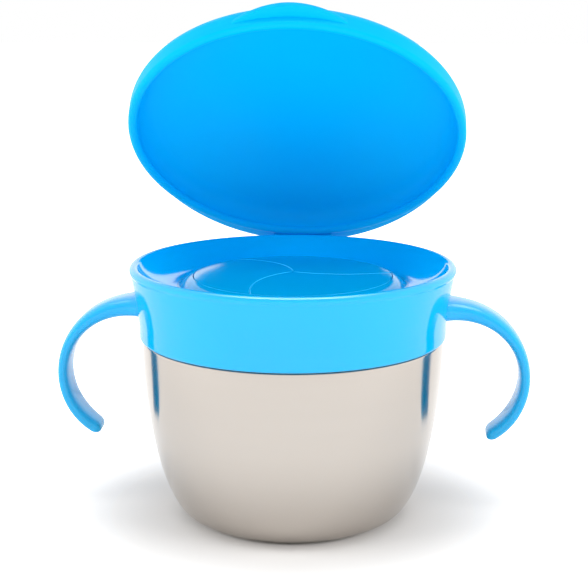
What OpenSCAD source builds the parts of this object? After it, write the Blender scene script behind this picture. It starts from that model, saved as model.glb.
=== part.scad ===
// Toddler snack container: a drawn steel bowl, a screw-on collar with two open handles, a soft
// swirl-slit flap mouth and a domed flip lid on a pinned hinge. Millimetres, +Z up.
// The origin is the centre of the foot, on the table. The front is -Y and the hinge is at +Y.

/* [Bowl] */
// Height of the cup, from the table to the top of its rim
cup_h = 76; // [68:1:90]
// Radius of the flat foot
foot_r = 27.6; // [24:0.2:30]
// Radius of the steel wall just under the collar
bowl_r = 44.6; // [42:0.2:48]
// Radius of the rounded edge round the foot
foot_edge_r = 8.6; // [6:0.2:11]
// Thickness of the steel
steel_t = 0.7; // [0.5:0.1:1]
// Radius of the rolled edge at the mouth of the steel
lip_roll_r = 0.8; // [0.6:0.1:1]

/* [Collar] */
// Height of the collar, from its lower edge to the top of the rim
collar_h = 21.5; // [18:0.5:26]
// How far the collar stands proud of the steel
collar_proud = 0.85; // [0.5:0.05:1.5]
// Thickness of the collar's skirt
skirt_t = 2.15; // [1.8:0.05:2.6]
// Radius of the roll along the top rim
rim_roll_r = 1.35; // [1.1:0.05:1.6]
// How far the rim roll stands out past the skirt
rim_flare = 2.55; // [1.5:0.05:3.5]
// Radius of the soft lower edge of the skirt
skirt_edge_r = 0.9; // [0.4:0.1:1.2]
// Depth of the dish, from the rim down to its floor
dish_depth = 6.2; // [5.4:0.1:7]
// Clear gap between the skirt and the steel below it
seam = 0.3; // [0.2:0.05:0.6]

/* [Seal] */
// Thickness of the silicone seal
seal_t = 1.25; // [1:0.05:1.6]
// Width of the seal
seal_w = 3.8; // [3:0.1:4.2]

/* [Soft mouth] */
// Width of the dish's floor between the seal's groove and the soft mouth
floor_w = 4.7; // [4:0.1:5.6]
// Width of the soft ring round the flaps
ring_w = 4.7; // [3.8:0.1:5.6]
// Width of the rounded shoulder of the soft mouth's dome
shoulder_w = 6.7; // [5.5:0.1:8]
// Height of the dome above the dish's floor
dome_h = 3.5; // [2.8:0.1:4]
// How much of that height is in the nearly flat middle
dome_bow = 0.7; // [0.4:0.05:1.1]
// Thickness of the soft flaps
flap_t = 1.1; // [0.9:0.1:1.5]
// Width of the slits between the flaps
slit_w = 0.36; // [0.3:0.02:0.6]
// Swirl of the slits from the centre to the ring, in degrees
slit_swirl = 35; // [0:1:45]

/* [Handles] */
// Radius of the handle's outer curve
grip_outer_r = 23.7; // [21:0.1:26]
// Radius of the handle's inner curve
grip_inner_r = 16.7; // [15:0.1:18]
// Thickness of the handle where it is furthest from the cup
grip_t = 3.6; // [2.8:0.1:4.4]
// Width of the handle
grip_w = 12; // [10:0.5:14]
// Height of the centre of the handle's curve below the rim
grip_drop = 34; // [32:0.5:38]
// Angle below the horizontal where the handle ends
grip_end = 51; // [45:1:62]

/* [Lid] */
// Clear gap all round between the lid's lip and the rim roll
lid_gap = 0.3; // [0.25:0.05:0.6]
// Thickness of the lid's rounded lip
lid_lip_t = 2.8; // [2.6:0.05:3.4]
// Height of the whole lid, from its lip to the top of its dome
lid_h = 13; // [12:0.5:17]
// Height of the lid's side wall
lid_wall_h = 4.5; // [4:0.1:6]
// Radius of the lid's shoulder
lid_shoulder_r = 4.3; // [3.5:0.1:5]
// Thickness of the lid's shell
lid_t = 1.6; // [1.3:0.1:2]
// How far the closed lid's lip reaches down past the rim
lid_overlap = 3; // [2.6:0.1:3.4]
// Angle that the lid stands open at
lid_open = 44.5; // [0:0.5:120]
// How far the thumb tab stands out
tab_out = 3.6; // [3.2:0.1:5]
// Width of the thumb tab
tab_w = 35; // [28:1:40]
// Thickness of the thumb tab
tab_t = 2; // [1.6:0.1:2.4]
// Upward tilt of the thumb tab
tab_tilt = 10; // [0:1:20]

/* [Hinge] */
// Distance from the cup's axis to the hinge pin
hinge_y = 54.5; // [54:0.1:56]
// Height of the hinge pin below the rim
hinge_drop = 8; // [7.5:0.1:9]
// Radius of the hinge pin
pin_r = 1.2; // [1:0.05:1.4]
// Outer radius of the knuckles
knuckle_r = 2.6; // [2.4:0.1:3]
// Width of the lid's knuckle, between the ears
knuckle_w = 19; // [14:0.5:22]
// Thickness of each ear of the collar
ear_w = 4.6; // [3.5:0.1:6]
// Running clearance of the pin in the lid's knuckle
pin_clear = 0.05; // [0.03:0.01:0.08]

/* [Hidden] */
$fn = 128;

blue = [0.0, 0.55, 0.93];
soft_blue = [0.0, 0.5, 0.86];
steel = [0.78, 0.76, 0.74];
silicone = [0.85, 0.87, 0.88];

ARC_STEPS = 10;      // steps along each rounded edge of an outline
CURVE_STEPS = 16;    // steps along each free curve of an outline
TOUCH = 0.05;        // air left between pieces of one body that rest on each other
RUN_GAP = 0.3;       // air left between pieces that move past each other

// ---- heights, all from the table ----
rim_z = cup_h;
skirt_z = cup_h - collar_h;
shoulder_z = skirt_z - seam;
dish_z = rim_z - dish_depth;
web_t = 1.4;                                  // thickness of the dish at the soft mouth
web_z = dish_z - web_t;                       // underside of the dish
seat_step = 0.5;                              // step in the underside that locates the seal
seat_z = web_z + seat_step;
seal_gap = 0.1;                               // air under the seal, which screwing down closes
steel_top_z = seat_z - TOUCH - seal_t - seal_gap;

// ---- radii ----
skirt_r = bowl_r + collar_proud;
skirt_bore_r = skirt_r - skirt_t;
thread_gap = 0.7;                             // radial room for the thread between neck and skirt
neck_r = skirt_bore_r - thread_gap;
rim_r = skirt_r + rim_flare;                  // widest radius of the rim roll
seal_out_r = skirt_bore_r - RUN_GAP;
seal_in_r = seal_out_r - seal_w;
groove_r = seal_in_r - RUN_GAP;               // inner wall of the seal's groove
mouth_r = groove_r - floor_w;                 // where the dish meets the soft mouth
flap_r = mouth_r - ring_w;                    // the cut-out that the flaps fill
roll_mid_r = rim_r - rim_roll_r;
roll_mid_z = rim_z - rim_roll_r;

// ---- lid, in the closed place ----
lid_z = rim_z - lid_overlap;
lid_in_r = rim_r + lid_gap;
lid_r = lid_in_r + lid_lip_t;
hinge_z = rim_z - hinge_drop;

// ---- outline helpers ----
function arc(c, r, a0, a1, n = ARC_STEPS) =
    [for (i = [0:n]) let (a = a0 + (a1 - a0) * i / n) [c[0] + r * cos(a), c[1] + r * sin(a)]];
function bezier(p, n = CURVE_STEPS) =
    [for (i = [0:n]) let (t = i / n, s = 1 - t)
        s * s * s * p[0] + 3 * s * s * t * p[1] + 3 * s * t * t * p[2] + t * t * t * p[3]];
function dir(a) = [cos(a), sin(a)];
function unit(v) = v / norm(v);
function tail(p) = [for (i = [1:len(p) - 1]) p[i]];
function back(p) = [for (i = [len(p) - 1:-1:0]) p[i]];
// moves every point of an outline to its left by d, square to the outline
function beside(p, d) =
    [for (i = [0:len(p) - 1])
        let (a = p[max(i - 1, 0)], b = p[min(i + 1, len(p) - 1)], t = unit(b - a))
        p[i] + d * [-t[1], t[0]]];

// ---- steel bowl ----
foot_turn = 54;                               // how far the foot's edge turns before the belly
belly_low = 12;                               // pull of the belly curve at its lower end
belly_high = 15.2;                            // pull of the belly curve at its upper end
shoulder_edge_r = 1.2;
belly_top = [bowl_r, shoulder_z - shoulder_edge_r];
foot_mid = [foot_r, foot_edge_r];
belly_start = foot_mid + foot_edge_r * dir(foot_turn - 90);

function bowl_outside() = concat(
    arc(foot_mid, foot_edge_r, -90, foot_turn - 90),
    tail(bezier([belly_start, belly_start + belly_low * dir(foot_turn),
                 belly_top - [0, belly_high], belly_top], 2 * CURVE_STEPS)),
    tail(arc([bowl_r - shoulder_edge_r, shoulder_z - shoulder_edge_r], shoulder_edge_r, 0, 90)));

module steel_bowl() {
    outside = bowl_outside();
    lip_mid = [neck_r - lip_roll_r, steel_top_z - lip_roll_r];
    color(steel)
        rotate_extrude()
            polygon(concat([[0, 0]], outside, [[neck_r, shoulder_z]],
                           arc(lip_mid, lip_roll_r, 0, 270, 2 * ARC_STEPS),
                           [[neck_r - steel_t, lip_mid[1] - lip_roll_r - steel_t / 2],
                            [neck_r - steel_t, shoulder_z - steel_t]],
                           back(beside(outside, steel_t)), [[0, steel_t]]));
}

// ---- silicone seal between the steel's rolled edge and the collar ----
module mouth_seal() {
    color(silicone)
        translate([0, 0, seat_z - TOUCH - seal_t])
            rotate_extrude()
                translate([seal_in_r, 0])
                    square([seal_w, seal_t]);
}

// ---- collar ----
flare_start_z = skirt_z + collar_h * 0.17;    // where the skirt starts to flare to the rim
roll_start = -42;                             // where the skirt runs into the rim roll, from below
flare_low = 0.25;                             // outward pull of the flare at its lower end
flare_pull = 4.6;                             // pull of the flare's curve at each end
flare_lean = 79;                              // slope of the flare where it meets the roll
roll_end = 150;                               // where the rim roll runs into the dish
roll_mid = [roll_mid_r, roll_mid_z];
dish_start = roll_mid + rim_roll_r * dir(roll_end);
neck_under_roll = roll_mid + rim_roll_r * dir(roll_start);

dish_pull = 4.4;                              // pull of the dish wall below the roll
dish_flat = 3.6;                              // pull of the dish floor at the soft mouth

function dish_curve() =
    bezier([dish_start, dish_start + dish_pull * dir(roll_end + 90),
            [mouth_r + dish_flat, dish_z], [mouth_r, dish_z]]);

function collar_outline() = concat(
    [[mouth_r, web_z], [groove_r, web_z], [groove_r, seat_z], [skirt_bore_r, seat_z],
     [skirt_bore_r, skirt_z]],
    arc([skirt_r - skirt_edge_r, skirt_z + skirt_edge_r], skirt_edge_r, -90, 0),
    bezier([[skirt_r, flare_start_z], [skirt_r + flare_low, flare_start_z + flare_pull],
            neck_under_roll - flare_pull * dir(flare_lean), neck_under_roll], 12),
    tail(arc(roll_mid, rim_roll_r, roll_start, roll_end, 20)),
    tail(dish_curve()));

module ear_profile() {
    translate([hinge_y, hinge_z]) circle(r = knuckle_r, $fn = 64);
    polygon([[skirt_r - skirt_t, hinge_z + knuckle_r], [hinge_y, hinge_z + knuckle_r],
             [hinge_y, hinge_z - knuckle_r], [skirt_r - skirt_t, hinge_z - 2 * knuckle_r]]);
}

module along_pin(x0, x1) {
    // stands an outline drawn in (y, z) up square to the pin, from x0 to x1
    translate([x0, 0, 0]) rotate([90, 0, 90]) linear_extrude(x1 - x0) children();
}

module collar() {
    ear_in = knuckle_w / 2 + RUN_GAP;
    color(blue)
        difference() {
            union() {
                rotate_extrude() polygon(collar_outline());
                difference() {
                    for (side = [-1, 1])
                        along_pin(min(side * ear_in, side * (ear_in + ear_w)),
                                  max(side * ear_in, side * (ear_in + ear_w)))
                            ear_profile();
                    cylinder(r = skirt_r - skirt_t / 2, h = 2 * cup_h, center = true);
                }
            }
            translate([0, hinge_y, hinge_z]) rotate([0, 90, 0])
                cylinder(r = pin_r + 0.01, h = knuckle_w + 4 * ear_w, center = true, $fn = 64);
        }
}

// ---- handles: an open hook of flattened round section, between two circles ----
// Places are (distance from the cup's axis, height).
grip_top_z = rim_z - grip_drop;
grip_reach = 25.1;                            // furthest reach of the handle past the skirt
grip_far = skirt_r + grip_reach;
outer_mid = [grip_far - grip_outer_r, grip_top_z];
inner_mid = [grip_far - grip_t - grip_inner_r, grip_top_z + 0.5];
root_turn = 93;                               // angle of the root on the outer curve
root_lift = 0.7;                              // swells the top where it meets the collar
root_rise = 1.1;                              // flattens the underside where it meets the collar
root_flare = 0.28;                            // how much wider the root is than the rest
tip_taper = 0.5;                              // how much each face draws in at the tip
tip_inside = 0.5;                             // how much more the inner face draws in there
tip_narrow = 0.22;                            // how much narrower the tip is than the rest
tip_length = 1.3;                             // length of the rounded tip for its thickness
GRIP_RINGS = 26;
TIP_RINGS = 6;
GRIP_SIDES = 20;

function grip_turn(u) = root_turn - u * (root_turn + grip_end);
function grip_outer(u) = outer_mid + (grip_outer_r + root_lift * pow(1 - u, 20) - tip_taper * pow(u, 5))
                                     * dir(grip_turn(u));
// where the line from the outer curve's centre meets the inner circle
function grip_inner(u) =
    let (d = dir(grip_turn(u)), e = inner_mid - outer_mid, along = e * d)
    outer_mid + (along + sqrt(along * along - e * e + grip_inner_r * grip_inner_r)
                 + root_rise * pow(1 - u, 8) + tip_taper * pow(u, 5) + tip_inside * pow(u, 7)) * d;
// one ring of the handle: middle, half thickness vector and half width
function grip_ring(m, half, w) =
    [for (i = [0:GRIP_SIDES - 1])
        let (a = 360 * i / GRIP_SIDES,
             c = sign(cos(a)) * pow(abs(cos(a)), 0.75), s = sign(sin(a)) * pow(abs(sin(a)), 0.62),
             p = m + half * c)
        [p[0], w / 2 * s, p[1]]];
function grip_wide(u) = grip_w * (1 + root_flare * pow(1 - u, 16) - tip_narrow * pow(u, 9));
function grip_rings() = concat(
    [grip_ring((grip_outer(0) + grip_inner(0)) / 2 - [grip_t, 0], (grip_outer(0) - grip_inner(0)) / 2,
               grip_wide(0))],
    [for (k = [0:GRIP_RINGS])
        let (u = k / GRIP_RINGS, o = grip_outer(u), i = grip_inner(u))
        grip_ring((o + i) / 2, (o - i) / 2, grip_wide(u))],
    [for (k = [1:TIP_RINGS])
        let (o = grip_outer(1), i = grip_inner(1), half = (o - i) / 2, t = 90 * k / TIP_RINGS,
             ahead = tip_length * [half[1], -half[0]])
        grip_ring((o + i) / 2 + ahead * sin(t), half * max(cos(t), 0.08),
                  grip_wide(1) - 2 * norm(half) * (1 - cos(t)))]);

module grip() {
    rings = grip_rings();
    n = len(rings);
    m = GRIP_SIDES;
    polyhedron(
        points = [for (r = rings) for (p = r) p],
        faces = concat(
            [[for (j = [0:m - 1]) j]],
            [for (i = [0:n - 2]) for (j = [0:m - 1])
                [i * m + j, (i + 1) * m + j, (i + 1) * m + (j + 1) % m, i * m + (j + 1) % m]],
            [[for (j = [m - 1:-1:0]) (n - 1) * m + j]]));
}

module seated_grip() {
    color(blue)
        difference() {
            grip();
            // the collar's own outside, so that the root sits face to face on it
            rotate_extrude()
                polygon(concat([[0, skirt_z]],
                               [for (p = collar_outline()) if (p[0] > skirt_r - skirt_edge_r - 0.01
                                                               && p[1] < neck_under_roll[1]) p],
                               [[0, neck_under_roll[1]]]));
        }
}

module left_handle() mirror([1, 0, 0]) seated_grip();
module right_handle() seated_grip();

// ---- soft mouth: a ring round three flaps ----
ring_r = mouth_r - TOUCH;
dome_r = mouth_r - 1;                         // where the dome rises out of the dish's floor
flat_r = dome_r - shoulder_w;                 // where the dome's shoulder starts to fall away
shoulder_drop = dome_h - dome_bow * pow(dome_r / flat_r, 2);
flange_w = 2.6;                               // how far the ring reaches under the dish
flange_t = 1;

// the top of the dome, at radius r
function dome_z(r) =
    dish_z + dome_h - dome_bow * pow(r / flat_r, 2)
    - shoulder_drop * pow(max(r - flat_r, 0) / shoulder_w, 2);
// radii from r0 to r1, in n steps
function radii(r0, r1, n) = [for (i = [0:n]) r0 + (r1 - r0) * i / n];

module flap_ring() {
    low = web_z - TOUCH - flange_t;
    color(soft_blue)
        rotate_extrude()
            polygon(concat(
                [for (r = radii(flap_r, flap_r + 2, 2)) [r, dome_z(r) - flap_t * (1 + (r - flap_r) / 4)]],
                [[ring_r - 0.6, low], [ring_r + flange_w, low], [ring_r + flange_w, low + flange_t],
                 [ring_r, low + flange_t], [ring_r, dish_z - TOUCH]],
                [[dome_r, dish_z - TOUCH]],
                [for (r = tail(radii(dome_r, flap_r, 8))) [r, dome_z(r)]]));
}

flap_count = 3;
first_slit = 95;                              // angle of the first slit at the centre
SLIT_STEPS = 10;
flap_edge_r = flap_r - RUN_GAP;
flap_tip_r = 0.9;

// angle of slit k at radius r, moved by half the slit's width to one side
function slit_a(k, r, side) =
    first_slit + 360 / flap_count * k + slit_swirl * r / flap_r + side * asin(slit_w / 2 / r);
function slit_points(k, side) =
    [for (i = [0:SLIT_STEPS])
        let (r = flap_tip_r + (flap_edge_r + 1 - flap_tip_r) * i / SLIT_STEPS) r * dir(slit_a(k, r, side))];

module flap(k) {
    reach = flap_edge_r + 1;
    a0 = slit_a(k, reach, 1);
    a1 = slit_a(k + 1, reach, -1);
    top = [for (r = concat(radii(0, flat_r, 4), tail(radii(flat_r, flap_edge_r, 4)))) [r, dome_z(r)]];
    color(soft_blue)
        intersection() {
            rotate_extrude() polygon(concat(top, [for (p = back(top)) p - [0, flap_t]]));
            translate([0, 0, dish_z - flap_t])
                linear_extrude(dome_h + 2 * flap_t)
                    polygon(concat(slit_points(k, 1),
                                   [for (i = [1:7]) reach * 1.1 * dir(a0 + (a1 - a0) * i / 8)],
                                   back(slit_points(k + 1, -1))));
        }
}

module flap_1() flap(0);
module flap_2() flap(1);
module flap_3() flap(2);

// ---- lid, drawn closed and then turned open about the pin ----
lip_edge_r = lid_lip_t / 2;
lid_top_z = lid_z + lid_h;
shoulder_turn = 76;
shoulder_mid = [lid_r - lid_shoulder_r, lid_z + lid_wall_h];
crown_start = shoulder_mid + lid_shoulder_r * dir(shoulder_turn);
crown_pull = lid_r * 0.29;                    // pull of the crown's curve at the shoulder
crown_flat = lid_r * 0.43;                    // pull of the crown's curve at its top
snap_w = 0.3;                                 // how far the lip stands in past the wall above it
lid_wall_r = lid_in_r + snap_w;               // inside radius of the side wall
inner_shoulder_r = 6.2;                       // the shoulder is rounder inside than outside
inner_turn = 72;
inner_shoulder = [lid_wall_r - inner_shoulder_r, lid_z + lid_wall_h - 2.1];
inner_crown_start = inner_shoulder + inner_shoulder_r * dir(inner_turn);

function lid_outline() = concat(
    arc([lid_in_r + lip_edge_r, lid_z + lip_edge_r], lip_edge_r, -180, 0, 16),
    arc(shoulder_mid, lid_shoulder_r, 0, shoulder_turn),
    tail(bezier([crown_start, crown_start + crown_pull * dir(90 + shoulder_turn),
                 [crown_flat, lid_top_z], [0, lid_top_z]], 12)),
    bezier([[0, lid_top_z - lid_t], [crown_flat, lid_top_z - lid_t],
            inner_crown_start + crown_pull * dir(90 + inner_turn), inner_crown_start], 12),
    tail(arc(inner_shoulder, inner_shoulder_r, inner_turn, 0)),
    [[lid_in_r, lid_z + lip_edge_r + 0.4]]);

// outline of a shallow ear that grows out of the lid's wall, seen from above, pointing to +Y
EAR_SINK = 0.6;                               // how deep the ear's corners start inside the wall
function ear_edge(half_w, out, crest, n = 16) =
    [for (i = [0:n]) let (x = half_w * (2 * i / n - 1), rise = pow(max(cos(90 * x / half_w), 0), crest))
        [x, sqrt(lid_r * lid_r - x * x) - EAR_SINK + (out + EAR_SINK) * rise]];

module lid_ear(half_w, out, crest, t) {
    linear_extrude(t)
        polygon(concat([[0, 0]], ear_edge(half_w, out, crest)));
}

tab_root = 2.7;                               // height of the thumb tab's root above the lip
tab_crest = 0.85;                             // under 1 gives the tab a flatter crest
neck_w = 94;                                  // width of the ear towards the hinge
neck_root = 1.2;                              // height of that ear above the lip
neck_t = 2.6;
neck_crest = 0.6;
neck_past = 1.2;                              // how far the ear reaches past the pin's middle

module closed_lid() {
    tab_z = lid_z + tab_root;
    neck_z = lid_z + neck_root;
    difference() {
        union() {
            rotate_extrude() polygon(lid_outline());
            // thumb tab at the front
            difference() {
                rotate([0, 0, 180])
                    translate([0, lid_r - 1, tab_z]) rotate([tab_tilt, 0, 0]) translate([0, 1 - lid_r, 0])
                        lid_ear(tab_w / 2, tab_out, tab_crest, tab_t);
                cylinder(r = lid_r - lid_lip_t / 2, h = 4 * cup_h, center = true);
            }
            // neck and knuckle at the hinge
            difference() {
                union() {
                    translate([0, 0, neck_z])
                        lid_ear(neck_w / 2, hinge_y - lid_r + neck_past, neck_crest, neck_t);
                    along_pin(-knuckle_w / 2, knuckle_w / 2) {
                        translate([hinge_y, hinge_z]) circle(r = knuckle_r, $fn = 64);
                        polygon([[hinge_y - knuckle_r, hinge_z], [hinge_y + knuckle_r, hinge_z],
                                 [hinge_y + knuckle_r * 0.4, neck_z + neck_t], [lid_r - 1, neck_z + neck_t],
                                 [lid_r - 1, neck_z]]);
                    }
                }
                cylinder(r = lid_r - lid_lip_t / 2, h = 4 * cup_h, center = true);
            }
        }
        translate([0, hinge_y, hinge_z]) rotate([0, 90, 0])
            cylinder(r = pin_r + pin_clear, h = knuckle_w + 2, center = true, $fn = 64);
    }
}

module lid() {
    color(blue)
        translate([0, hinge_y, hinge_z]) rotate([-lid_open, 0, 0]) translate([0, -hinge_y, -hinge_z])
            closed_lid();
}

module hinge_pin() {
    color(steel)
        translate([0, hinge_y, hinge_z]) rotate([0, 90, 0])
            cylinder(r = pin_r, h = knuckle_w + 2 * RUN_GAP + 2 * ear_w, center = true, $fn = 64);
}

steel_bowl();
mouth_seal();
collar();
left_handle();
right_handle();
flap_ring();
flap_1();
flap_2();
flap_3();
lid();
hinge_pin();
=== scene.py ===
# %% [markdown]
# # A toddler's snack bowl in steel and blue plastic
#
# This file dresses a bowl that a child can carry and reach into: a drawn steel bowl, a screwed
# collar with two open handles, a soft mouth slit into three flaps, and a domed lid on a hinge.
# The construction model comes in first as a fixed frame. Every visible piece is then built in
# place around it, given its finish, and told which moving body it rides on.

# %% Load the frame
from math import asin, cos, pi, radians, sin, sqrt
import bmesh
import bpy
import numpy as np
from mathutils import Matrix, Vector


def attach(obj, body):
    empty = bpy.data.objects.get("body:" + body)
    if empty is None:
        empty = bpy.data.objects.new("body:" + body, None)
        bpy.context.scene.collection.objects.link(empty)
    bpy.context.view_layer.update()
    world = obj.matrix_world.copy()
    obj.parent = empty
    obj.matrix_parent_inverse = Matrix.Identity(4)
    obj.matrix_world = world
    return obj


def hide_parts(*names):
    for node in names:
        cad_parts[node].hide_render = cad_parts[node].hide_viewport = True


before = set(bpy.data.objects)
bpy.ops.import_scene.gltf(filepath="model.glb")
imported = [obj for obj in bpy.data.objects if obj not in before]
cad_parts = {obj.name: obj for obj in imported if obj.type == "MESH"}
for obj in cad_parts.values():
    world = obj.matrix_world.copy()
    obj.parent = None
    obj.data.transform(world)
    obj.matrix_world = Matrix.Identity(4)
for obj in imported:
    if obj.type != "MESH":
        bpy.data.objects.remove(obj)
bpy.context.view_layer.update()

print("nodes:", sorted(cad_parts))

# %% [markdown]
# ## Sizes
#
# All sizes are in millimetres here, because moulders and press shops think in them, and are
# turned into metres only when a mesh is made. They are the construction model's own values, so
# a piece lies on the solid that it stands for. Where its surface is meant to be a little fuller
# or sharper than the solid's, the text above its cell says so.

# %% The bowl, collar and mouth in numbers
MM = 0.001
CUP_H, FOOT_R, FOOT_EDGE_R, BOWL_R, STEEL_T = 76.0, 27.6, 8.6, 44.6, 0.7
COLLAR_H, SKIRT_T, SEAM = 21.5, 2.15, 0.3
SKIRT_R = BOWL_R + 0.85
SKIRT_BORE_R = SKIRT_R - SKIRT_T
SKIRT_Z = CUP_H - COLLAR_H
NECK_R = SKIRT_BORE_R - 0.7
ROLL_R = 1.35
RIM_R = SKIRT_R + 2.55
ROLL_MID = (RIM_R - ROLL_R, CUP_H - ROLL_R)
DISH_Z = CUP_H - 6.2
WEB_Z = DISH_Z - 1.4
SEAT_Z = WEB_Z + 0.5
SEAL_T, SEAL_W, RUN_GAP, TOUCH = 1.25, 3.8, 0.3, 0.05
STEEL_TOP_Z = SEAT_Z - TOUCH - SEAL_T - 0.1
SEAL_OUT_R = SKIRT_BORE_R - RUN_GAP
SEAL_IN_R = SEAL_OUT_R - SEAL_W
MOUTH_R = SEAL_IN_R - RUN_GAP - 4.7
DOME_R, FLAP_R, SHOULDER_W = MOUTH_R - 1, MOUTH_R - 4.7, 6.7
FLAT_R = DOME_R - SHOULDER_W
DOME_H, DOME_BOW, FLAP_T = 3.5, 0.7, 1.1

# %% The lid, hinge and handles in numbers
LID_Z = CUP_H - 3
LID_IN_R = RIM_R + 0.3
LIP_T, LID_H, LID_WALL_H, LID_SHOULDER_R, LID_T = 2.8, 13.0, 4.5, 4.3, 1.6
LID_R = LID_IN_R + LIP_T
LID_OPEN = 44.5
TAB_OUT, TAB_W, TAB_T, TAB_TILT, TAB_ROOT = 3.6, 35.0, 2.0, 10.0, 2.7
NECK_W, NECK_ROOT, NECK_T = 94.0, 1.2, 2.6
HINGE_Y, HINGE_Z = 54.5, CUP_H - 8
PIN_R, KNUCKLE_R, KNUCKLE_W, EAR_W = 1.2, 2.6, 19.0, 4.6
GRIP_OUTER_R, GRIP_INNER_R, GRIP_T, GRIP_W, GRIP_END = 23.7, 16.7, 3.6, 12.0, 51.0
print("rim radius", round(RIM_R, 2), "lid radius", round(LID_R, 2), "mm")

# %% [markdown]
# ## Outlines
#
# A bowl, a collar and a lid are all turned shapes: one outline, carried once round an axis. A
# Screw modifier can do that too, but writing the lathe out closes the seam and the poles, and
# keeps the faces in step with the outline. The outlines are chains of arcs and free curves, so
# they are written with a few small helpers.

# %% Arcs and free curves
def polar(angle, r=1.0):
    """A point r from the origin, at an angle in degrees."""
    return np.array([r * cos(radians(angle)), r * sin(radians(angle))])


def arc(mid, r, a0, a1, n=14):
    """Points on a circle, from the angle a0 to a1 in degrees."""
    return [np.array(mid) + polar(a0 + (a1 - a0) * i / n, r) for i in range(n + 1)]


def corners(*points):
    """Points joined by straight lines."""
    return [np.array(p, float) for p in points]


def free_curve(p0, p1, p2, p3, n=24):
    """A Bezier curve from p0 to p3, drawn towards p1 and p2 on its way."""
    p0, p1, p2, p3 = corners(p0, p1, p2, p3)
    out = []
    for i in range(n + 1):
        t = i / n
        s = 1 - t
        out.append(s * s * s * p0 + 3 * s * s * t * p1 + 3 * s * t * t * p2 + t * t * t * p3)
    return out


def beside(points, d):
    """The same curve moved to its left by d, square to itself."""
    out = []
    for i, p in enumerate(points):
        a, b = points[max(i - 1, 0)], points[min(i + 1, len(points) - 1)]
        t = (b - a) / np.linalg.norm(b - a)
        out.append(p + d * np.array([-t[1], t[0]]))
    return out


# %% A mesh from points and faces
def placed(name, data):
    """An object that holds a mesh, a curve, a lamp or a camera, put into the scene."""
    thing = bpy.data.objects.new(name, data)
    bpy.context.scene.collection.objects.link(thing)
    return thing


def add_piece(name, verts, faces, smooth_below=35):
    """A piece from points in millimetres, smooth except where it turns sharply."""
    mesh = bpy.data.meshes.new(name)
    mesh.from_pydata([Vector(v) * MM for v in verts], [], faces)
    bm = bmesh.new()
    bm.from_mesh(mesh)
    bmesh.ops.remove_doubles(bm, verts=bm.verts, dist=1e-6)
    bmesh.ops.dissolve_degenerate(bm, edges=bm.edges, dist=1e-7)
    bmesh.ops.recalc_face_normals(bm, faces=bm.faces)
    bm.to_mesh(mesh)
    bm.free()
    mesh.shade_smooth()
    mesh.set_sharp_from_angle(angle=radians(smooth_below))
    return placed(name, mesh)


# %% The lathe
def turned(name, outline, steps=256, smooth_below=35):
    """A closed outline of (radius, height) points, carried round the upright axis."""
    outline = [p for i, p in enumerate(outline) if np.linalg.norm(p - outline[i - 1]) > 1e-4]
    n = len(outline)
    verts = []
    for k in range(steps):
        a = 2 * pi * k / steps
        verts += [(r * cos(a), r * sin(a), z) for r, z in outline]
    faces = []
    for k in range(steps):
        here, there = k * n, (k + 1) % steps * n
        for i in range(n):
            j = (i + 1) % n
            faces.append((here + i, there + i, there + j, here + j))
    return add_piece(name, verts, faces, smooth_below)


# %% [markdown]
# ## The steel bowl
#
# The bowl is drawn from one steel sheet: a flat foot, a tight turn, a full belly that runs
# almost upright, and a step in to a neck for the collar. It could be a solid with its middle cut
# out. Turning the outside curve and the same curve moved inwards by the sheet's thickness gives
# an even wall instead. The step, which the skirt hides, is sharper than the solid's, so that the
# belly runs straight up to the seam.

# %% Draw the bowl
FOOT_TURN, BELLY_PULL_LOW, BELLY_PULL_TOP = 54, 12, 15.2
STEP_R, NECK_FILLET_R, STEEL_LIP_R = 0.3, 0.5, 0.8
foot_mid = np.array([FOOT_R, FOOT_EDGE_R])
step_z = SKIRT_Z - SEAM
belly_start = foot_mid + polar(FOOT_TURN - 90, FOOT_EDGE_R)
belly_top = np.array([BOWL_R, step_z - STEP_R])
bowl_outside = (
    # the tight turn out of the foot, and the belly
    arc(foot_mid, FOOT_EDGE_R, -90, FOOT_TURN - 90, 20)
    + free_curve(belly_start, belly_start + polar(FOOT_TURN, BELLY_PULL_LOW),
                 belly_top - (0, BELLY_PULL_TOP), belly_top, 60)[1:]
    # the step in, and the turn up into the neck
    + arc((BOWL_R - STEP_R, step_z - STEP_R), STEP_R, 0, 90, 10)[1:]
    + arc((NECK_R + NECK_FILLET_R, step_z + NECK_FILLET_R), NECK_FILLET_R, -90, -180, 6)
)
neck_lip = arc((NECK_R - STEEL_LIP_R, STEEL_TOP_Z - STEEL_LIP_R), STEEL_LIP_R, 0, 200, 24)
neck_in_r = NECK_R - STEEL_T
bowl_inside = [p for p in beside(bowl_outside, STEEL_T)
               if p[0] < neck_in_r or p[1] < step_z - STEEL_T]
bowl = turned("bowl_of_steel", corners((0, 0)) + bowl_outside + neck_lip
              + corners((neck_in_r, STEEL_TOP_Z - 2 * STEEL_LIP_R)) + bowl_inside[::-1]
              + corners((0, STEEL_T)))
print("the bowl's wall has", len(bowl.data.polygons), "faces")

# %% [markdown]
# ## Helpers for node trees
#
# A thread is made by a tree of geometry nodes and a finish by a tree of shader nodes. Both kinds
# are built in the same way: sockets are declared, nodes are added, and links are drawn. Three
# helpers take up what repeats. A Math node works in either kind of tree.

# %% Sockets, links and sums
def new_socket(tree, name, kind, output=False, value=None):
    """A named input or output of a node group, with the value that it starts from."""
    way = "OUTPUT" if output else "INPUT"
    socket = tree.interface.new_socket(name, in_out=way, socket_type=kind)
    if value is not None:
        socket.default_value = value
    return socket


def wire(tree, a, b):
    """A link from the output a to the input b."""
    tree.links.new(a, b)


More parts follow.
